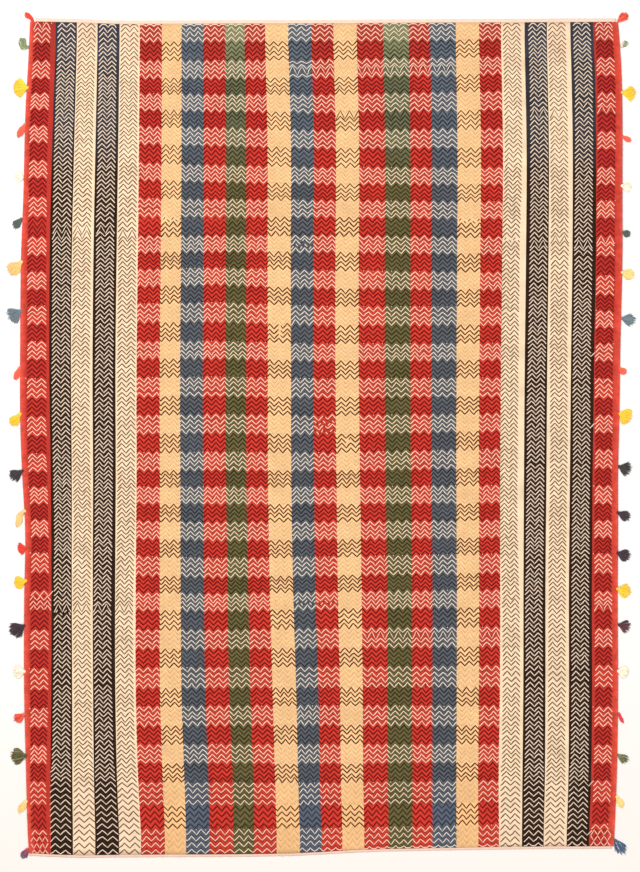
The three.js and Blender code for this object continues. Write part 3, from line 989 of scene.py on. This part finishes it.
def makeZigzags():
    look = zigzagLook
    keys = ["cream", "ivory", "straw", "gold", "dark", "maroon", "slate", "moss", "pearl_left", "pearl_right",
            "brown_left", "brown_right", "maroon_edges"]
    groups = {key: Lines() for key in keys}
    for line in range(lineCount):
        layCentreLine(groups, line)
        for i in outerStarts:
            layOuterLine(groups, line, i)
        if line % (2 * layout["linesInBand"]) == 0:
            layDots(groups, line)
    materials = {key: makeYarnMaterial(key + " yarn", colour, besideIt=besideYarns.get(key))
                 for key, colour in yarns.items()}
    sizes = {"Wide": look["wide"] * mm, "Top": look["top"] * mm, "Tall": look["high"] * mm}
    pieces = []
    for key, lines in groups.items():
        name = "lines_" + key
        source = meshOf(name, lines.points, lines.edges, (), {"thick": lines.thick}, patternMiddle)
        pieces.append(grown(name, yarnTree, source, {**sizes, "Material": materials[key.split("_")[0]]}))
    return pieces


# The edgings

edgingLook = {
    "step": 2.3,  # from one turn of the wrapping to the next
    "yarn": 3.1,  # the width of the yarn along the edge
    "thick": 1.3,
    "reach": 15.2,  # from the outer side to where a turn goes into the cloth
    "uneven": 0.16,
    "lean": 0.02,
    "shade": 1.1,
    "inner": linear(190, 57, 44),  # the wool's colour at its inner side, and at its outer side with a painted highlight where the curved wrap catches the light
    "outer": linear(217, 80, 62),
}


def wrappedTurn(side, out, material):
    # One turn of wool over the edging: over its top, round its outer side and back underneath.
    look = edgingLook
    low, high = boxOf("edging_" + side)
    tall = (high - low)[2]
    half = look["thick"] / 2
    inner = -look["reach"] - layout["fuller"][out]
    path = np.array([(inner - 0.7, 2.3), (inner, 3.0), (-9.0, 3.8), (-3.2, tall - half), (-1.1, tall - 1.4),
                     (-half, tall / 2), (-1.1, 1.2), (-3.4, half), (-10.0, half)])
    points = np.stack([path[:, 0] * out, np.zeros(len(path)), path[:, 1]], -1)
    # how far out each point of the turn lies, 0 inside to 1 outside, for the painted highlight on the outer
    # side
    tone = np.interp(path[:, 0], [-13, -2], [0, 1])
    source = meshOf("turn", points, chain(len(path)), (), {"tone": tone})
    return grown("turn", turnTree, source, {
        "Wide": look["yarn"] * mm, "Tall": look["thick"] * mm, "Sides": 6, "Material": material})


def makeEdging(side, out, material):
    look = edgingLook
    turn = wrappedTurn(side, out, material)
    line = sideLines[out]
    outer = line[:, 0] + out * (layout["edging"] + layout["fuller"][out])
    spine = np.stack([outer, line[:, 1], np.zeros(len(line))], -1)
    spine[0, 1] += look["yarn"] / 2
    spine[-1, 1] -= look["yarn"] / 2
    source = meshOf("edging", spine, chain(len(spine)), (), {}, patternMiddle)
    piece = grown("wrapped_edging_" + side, rowTree, source, {
        "Step": look["step"] * mm, "Copy": turn, "Uneven": look["uneven"], "Lean": look["lean"],
        "Seed": 3 if out < 0 else 5, "Material": material})
    bpy.data.objects.remove(turn)
    return piece


# The tapes

tapeLook = {
    "step": 3.0,  # between the points along a tape
    "rib": 0.16,
    "fray": 0.25,
    "sewnGap": 0.3,
    "more": {"top": 4.5, "bottom": 0.0},  # how far the loose end at the right reaches past its solid
    "colours": {"top": linear(232, 200, 178), "bottom": linear(227, 190, 172)},
}


def makeTape(end, out):
    # A narrow woven tape: its own solid's outline, with a ribbed face.
    look = tapeLook
    node = "tape_" + end
    points = pointsOf(node)
    thick = points[:, 2].max()
    places = np.arange(points[:, 0].min(), points[:, 0].max() + look["more"][end], look["step"])
    rows = [points[np.abs(points[:, 0] - x) < 0.5] for x in np.unique(np.round(points[:, 0], 1))]
    wide = float(np.median([np.ptp(row[:, 1]) for row in rows]))
    line = clothEnd(out, places)
    section = [(0, 0), (0, thick * 0.9), (0.3, thick), (0.7, thick * 0.96), (0.93, thick * 0.8),
               (1, thick * 0.45), (0.93, 0)]
    rings = []
    for i, (x, a, b) in enumerate(zip(places, line + out * look["sewnGap"], line + out * wide)):
        rib = look["rib"] * (1 if i % 2 else -1)
        fray = chance.normal(0, look["fray"])
        rings.extend((x, a + (b + fray - a) * t, max(z + (rib if z > 1 else 0), 0)) for t, z in section)
    count = len(section)
    last = len(rings) - count
    faces = [(a + k, a + (k + 1) % count, a + (k + 1) % count + count, a + k + count)
             for a in range(0, last, count) for k in range(count)]
    faces += [tuple(range(count))[::-1], tuple(range(last, last + count))]
    mesh = meshOf("woven_" + node, rings, (), faces, {}, patternMiddle)
    work = bmesh.new()
    work.from_mesh(mesh)
    bmesh.ops.recalc_face_normals(work, faces=work.faces)
    work.to_mesh(mesh)
    work.free()
    mesh.shade_smooth()
    mesh.materials.append(makeYarnMaterial(end + " tape cotton", look["colours"][end], 0.2, None, "tape"))
    return objectOf("woven_" + node, mesh)


# The tassels

tasselLook = {
    "strands": 46,
    "strandsPerMm": 1.8,  # more for a wider tassel
    "radius": 0.75,
    "sides": 3,
    "steps": 8,
    "neck": 2.2,  # half the width of the strands where they leave the edging
    "neckHigh": (2.7, 4.6),  # off the floor, beside the edging and over it
    "neckStray": (-1.5, 1.2),
    "arch": (0.8, 3.8),  # how high strands are halfway
    "gather": 0.75,  # how far loose strands gather in locks
    "shorter": 0.5,  # how much shorter the outermost strands are
    "spread": (1.4, 0.75),  # how soon strands spread, and how much later where they are loose
    "strandThick": (0.8, 1.15),
    "tones": (0.2, 0.9),
    "wave": 0.5,
    "knob": (8.0, 6.4, 4.6),  # how long, wide and tall the knotted wool inside the wrapping is
    "turns": 5,
    "turnStep": 1.15,
    "locks": 5,
}

# Down each side: how far the neck lies over the edging, the heading from straight outward towards the near
# end, how long and how wide the body is, how far it bends towards the near end, and how loose it is.
tasselShapes = {
    "left": [
        (0, -46, 27, 14, -2, 0.9), (0, -48, 30, 21, 8, 0.2), (6, 0, 31, 44, 0, 0.1), (5, 60, 31, 17, 0, 0.3),
        (0, -12, 22, 30, 0, 0.1), (1, 46, 28, 23, 0, 1.0), (8, 42, 36, 35, 0, 0.3), (7, 30, 31, 42, 0, 0.6),
        (6, 66, 28, 14, 0, 0.2), (6, 50, 31, 26, 0, 0.7), (6, 33, 31, 32, 0, 0.8), (8, 62, 39, 16, -6, 0.1),
        (5, 14, 17, 30, 0, 0.2), (8, 14, 24, 33, 0, 0.2), (5, 30, 35, 40, 0, 0.5), (5, 3, 25, 34, 0, 0.2),
        (4, 35, 26, 27, 0, 1.0), (5, 4, 33, 44, 0, 0.5), (4, 55, 31, 17, 0, 0.3), (0, 60, 27, 19, 0, 0.8),
    ],
    "right": [
        (0, -38, 28, 24, 0, 1.0), (0, -33, 20, 14, 0, 1.0), (4, 6, 31, 38, 0, 0.8), (1, 28, 22, 13, 0, 0.3),
        (5, 12, 21, 24, 0, 0.1), (0, 26, 19, 18, 0, 0.2), (4, 15, 29, 26, 0, 0.1), (1, 10, 32, 30, 0, 0.7),
        (4, 42, 17, 17, 0, 0.2), (3, 24, 29, 42, 0, 0.3), (1, 18, 29, 36, 0, 1.0), (5, 24, 30, 27, 0, 0.7),
        (5, 20, 29, 31, 0, 0.4), (5, 16, 31, 34, 0, 0.3), (0, 14, 28, 34, 0, 0.9), (3, 10, 25, 30, 0, 0.2),
        (0, 64, 26, 8, 0, 0.6), (0, 34, 27, 24, 0, 0.9), (2, 60, 30, 18, 0, 0.5), (0, 55, 38, 30, 0, 0.85),
    ],
}

tasselColours = {
    "red": linear(228, 72, 54), "sage": linear(138, 149, 108), "yellow": linear(250, 203, 62),
    "coral": linear(244, 108, 84), "peach": linear(250, 232, 212), "grey_green": linear(92, 102, 95),
    "apricot": linear(252, 204, 134), "grey_blue": linear(116, 130, 138), "charcoal": linear(70, 62, 64),
    "aubergine": linear(70, 56, 64), "olive": linear(98, 88, 54), "gold": linear(252, 212, 138),
    "blue": linear(76, 98, 126), "rose": linear(212, 66, 86),
}

# Where the wool isn't of its slot's own shade, or has strands of a second one: the shade, the second and
# its share.
tasselWoolInstead = {
    "tassel_right_14": ("yellow", "yellow", 0.0),
    "tassel_left_20": ("blue", "rose", 0.4),
    "tassel_right_20": ("blue", "peach", 0.05),
    "tassel_right_15": ("charcoal", "rose", 0.08),
    "tassel_right_18": ("olive", "sage", 0.45),
    "tassel_left_18": ("olive", "sage", 0.15),
    "tassel_left_02": ("sage", "peach", 0.12),
    "tassel_right_02": ("sage", "peach", 0.3),
    "tassel_right_01": ("red", "coral", 0.5),
    "tassel_left_17": ("red", "coral", 0.5),
    "tassel_right_17": ("rose", "red", 0.3),
}


def outsideBy(points):
    # How far points lie outside the rug's outer sides and far end.
    x, y = points[:, 0], points[:, 1]
    aside = [out * (x - (clothSide(out, y) + out * layout["edging"])) for out in (-1, 1)]
    return np.maximum(np.maximum(*aside), y - clothEnd(1, x))


def tasselPlan(node):
    # Where a tassel sits, read from its solid, and the shape of its loose wool.
    points = pointsOf(node)
    outside = outsideBy(points)
    root = points[outside < outside.min() + 1.5][:, :2].mean(0)
    _, side, number = node.split("_")
    out = -1 if side == "left" else 1
    over, heading, long, wide, bend, loose = tasselShapes[side][int(number) - 1]
    turn = math.radians(heading)
    ahead = complex(out * math.cos(turn), -math.sin(turn))
    beside, above = tasselLook["neckHigh"]
    return {"root": complex(root[0] + out * layout["fuller"][out], root[1]), "ahead": ahead, "over": over,
            "aside": ahead * 1j * -out, "long": long, "wide": wide, "bend": bend, "loose": loose,
            "neckHigh": above if over > 1.5 else beside}


def strandPath(plan, share, along):
    # One strand from the neck to its end, as complex numbers in plan: share is -1 to 1 across the tassel.
    look = tasselLook
    long, loose = plan["long"], plan["loose"]
    half = plan["wide"] / 2
    lock = np.round(share * look["locks"] / 2) / (look["locks"] / 2)
    gathered = share + (lock - share) * look["gather"] * loose
    reach = long * (1 - look["shorter"] * (1 - math.sqrt(max(1 - gathered ** 2, 0))))
    reach = reach * (1 + chance.normal(0, 0.05 + 0.05 * loose))
    tipAside = half * (gathered + chance.normal(0, 0.06 + 0.08 * loose))
    full = look["spread"][0] - look["spread"][1] * loose
    ends = [(-plan["over"], share * look["neck"]), (0.16 * long, share * look["neck"] * 1.2),
            (0.3 * long, half * share * full), (reach, tipAside)]
    back = 1 - along
    weights = [back ** 3, 3 * along * back ** 2, 3 * along ** 2 * back, along ** 3]
    ahead, aside = [sum(weight * end[k] for weight, end in zip(weights, ends)) for k in (0, 1)]
    aside = aside + plan["bend"] * 4 * along * back
    aside = aside + look["wave"] * np.sin(along * 7 + chance.uniform(0, 6)) * along
    return plan["root"] + plan["ahead"] * ahead + plan["aside"] * aside


def tasselStrands(plan):
    # The loose wool strands of one tassel, and the turns of wool wrapped round its neck.
    look = tasselLook
    lines = Lines()
    tones = []

    def addStrand(place, z, thick, tone):
        lines.add(np.stack([place.real, place.imag, z], -1), thick)
        tones.extend([tone] * len(place))

    along = np.linspace(0, 1, look["steps"]) ** 0.85
    count = int(look["strands"] + look["strandsPerMm"] * plan["wide"])
    for k in range(count):
        share = 2 * (k + chance.uniform(0, 1)) / count - 1
        place = strandPath(plan, share, along)
        top = chance.uniform(*look["arch"]) * (1 - share ** 2 * 0.4)
        neck = plan["neckHigh"] + chance.uniform(*look["neckStray"])
        z = np.interp(along, [0, 0.25, 0.5, 1], [neck, neck, top, 0.6 + 0.3 * top])
        z = np.maximum(z, look["radius"] * 1.2)
        thick = np.interp(along, [0, 0.2, 0.8, 1], [0.8, 1, 1, 0.55]) * chance.uniform(*look["strandThick"])
        addStrand(place, z, thick, chance.uniform(*look["tones"]))
    around = np.linspace(0, 2 * math.pi, 9)
    for k in range(look["turns"]):
        place = k * look["turnStep"] - plan["over"] + 0.6
        wide = look["knob"][1] / 2 + 0.2 * math.sin(k * 2.3)
        ring = plan["root"] + plan["ahead"] * (place + 0.3 * np.cos(around))
        ring = ring + plan["aside"] * wide * np.cos(around)
        z = np.maximum(plan["neckHigh"] + 2.0 * np.sin(around), look["radius"])
        addStrand(ring, z, np.full(len(around), 1.05), 0.45)
    return lines, tones


def addKnob(piece, plan):
    # The knotted wool inside the wrapping.
    look = tasselLook
    middle = plan["root"] + plan["ahead"] * (look["turns"] * 0.55 - plan["over"])
    at = Vector((middle.real + patternMiddle[0], middle.imag + patternMiddle[1], plan["neckHigh"])) * mm
    turn = Matrix.Rotation(math.atan2(plan["ahead"].imag, plan["ahead"].real), 4, "Z")
    size = Matrix.Diagonal([wide / 2 * mm for wide in look["knob"]] + [1])
    work = bmesh.new()
    work.from_mesh(piece.data)
    made = bmesh.ops.create_uvsphere(
        work, u_segments=12, v_segments=7, radius=1, matrix=Matrix.Translation(at) @ turn @ size)
    tone = work.verts.layers.float.get("tone")
    for vertex in made["verts"]:
        vertex[tone] = 0.5
    for face in work.faces:
        face.smooth = True
    work.to_mesh(piece.data)
    work.free()


def makeTassel(node, material):
    plan = tasselPlan(node)
    lines, tones = tasselStrands(plan)
    source = meshOf(node, lines.points, lines.edges, (), {"thick": lines.thick, "tone": tones}, patternMiddle)
    piece = grown("loose_" + node, strandTree, source, {
        "Radius": tasselLook["radius"] * mm, "Sides": tasselLook["sides"], "Material": material})
    addKnob(piece, plan)
    return piece


# The camera straight above, at the picture's own frame

view = {
    "pixel": 2.53,  # millimetres of rug to a pixel of the picture
    "middleAlong": 3.8,  # the picture's middle, from the pattern's
    "lens": 100.0,
    "sensor": 36.0,
}


def makeCamera():
    data = bpy.data.cameras.new("camera")
    data.lens = view["lens"]
    data.sensor_width = view["sensor"]
    data.dof.use_dof = False
    data.clip_end = 100
    camera = objectOf("camera", data)
    away = imageTall * view["pixel"] * mm / 2 / (view["sensor"] / 2 / view["lens"])
    camera.location = (
        patternMiddle[0] * mm, (patternMiddle[1] + view["middleAlong"]) * mm, away + clothFace * mm)
    bpy.context.scene.camera = camera


light = {
    "sky": 0.375,
    "skyColour": (1.0, 0.995, 0.985, 1.0),
    "lamps": {"key": (335.0, (-2.6, 2.4, 5.2)), "fill": (195.0, (2.8, -2.2, 5.6))},  # power and place
    "size": 3.6,
    "floorFar": (0.8, 0.79, 0.775, 1.0),
    "floorNear": (0.785, 0.742, 0.69, 1.0),
    "nearFrom": (-0.25, -1.15),  # where the floor starts to change, and where it is all near
}


def makeStudio():
    for name, (power, place) in light["lamps"].items():
        data = bpy.data.lights.new(name, "AREA")
        data.shape = "SQUARE"
        data.size = light["size"]
        data.energy = power
        lamp = objectOf(name, data)
        lamp.location = place
        lamp.rotation_euler = (-Vector(place)).to_track_quat("-Z", "Y").to_euler()
    world = bpy.data.worlds.new("studio")
    bpy.context.scene.world = world
    world.use_nodes = True
    nodes = Nodes(world.node_tree)
    sky = nodes.add("ShaderNodeBackground", {}, {"Color": light["skyColour"], "Strength": light["sky"]})
    nodes.add("ShaderNodeOutputWorld", {}, {"Surface": sky})
    bpy.ops.mesh.primitive_plane_add(size=30, location=(0, 0, -0.0002))
    floor = bpy.context.object
    floor.name = "floor"
    material, nodes, shader = matt("pale floor", 0.8, 0.0, 0.1)
    _, along, _ = nodes.parts(nodes.objectPlace())
    near = nodes.eased(along, *light["nearFrom"])
    nodes.feed(shader.inputs["Base Color"], nodes.mixed(near, light["floorFar"], light["floorNear"]))
    floor.data.materials.append(material)


makeCamera()
makeStudio()
bpy.context.scene.view_settings.view_transform = "Standard"
print("camera and studio made")


def declared(piece, node=None):
    # Each piece lies on the one body, most of them in place of a plain solid.
    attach(piece, "root")
    if node:
        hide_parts(node)
    return piece


cloth = declared(makeCloth(), "cloth")
print("cloth made")

trims = [declared(piece) for piece in makeZigzags()]  # all that is on the cloth
print("zigzags made")

edgingWool = makeEdgingMaterial()
for side, out in (("left", -1), ("right", 1)):
    trims.append(declared(makeEdging(side, out, edgingWool), "edging_" + side))
print("edgings made")

for end, out in (("top", 1), ("bottom", -1)):
    trims.append(declared(makeTape(end, out), "tape_" + end))
print("tapes made")

slotOf = {part["node"]: part["material_slot"] for part in frame["record"]["subparts"]}
tasselWool = {}
for node in sorted(name for name in cadNodes if name.startswith("tassel_")):
    own = slotOf[node].removeprefix("tassel_")
    wools = tasselWoolInstead.get(node, (own, own, 0.0))
    if wools not in tasselWool:
        first, second, share = wools
        name = " and ".join(sorted({first, second})) + " tassel wool"
        tasselWool[wools] = makeStrandMaterial(name, tasselColours[first], tasselColours[second], share)
    trims.append(declared(makeTassel(node, tasselWool[wools]), node))
print("tassels made")
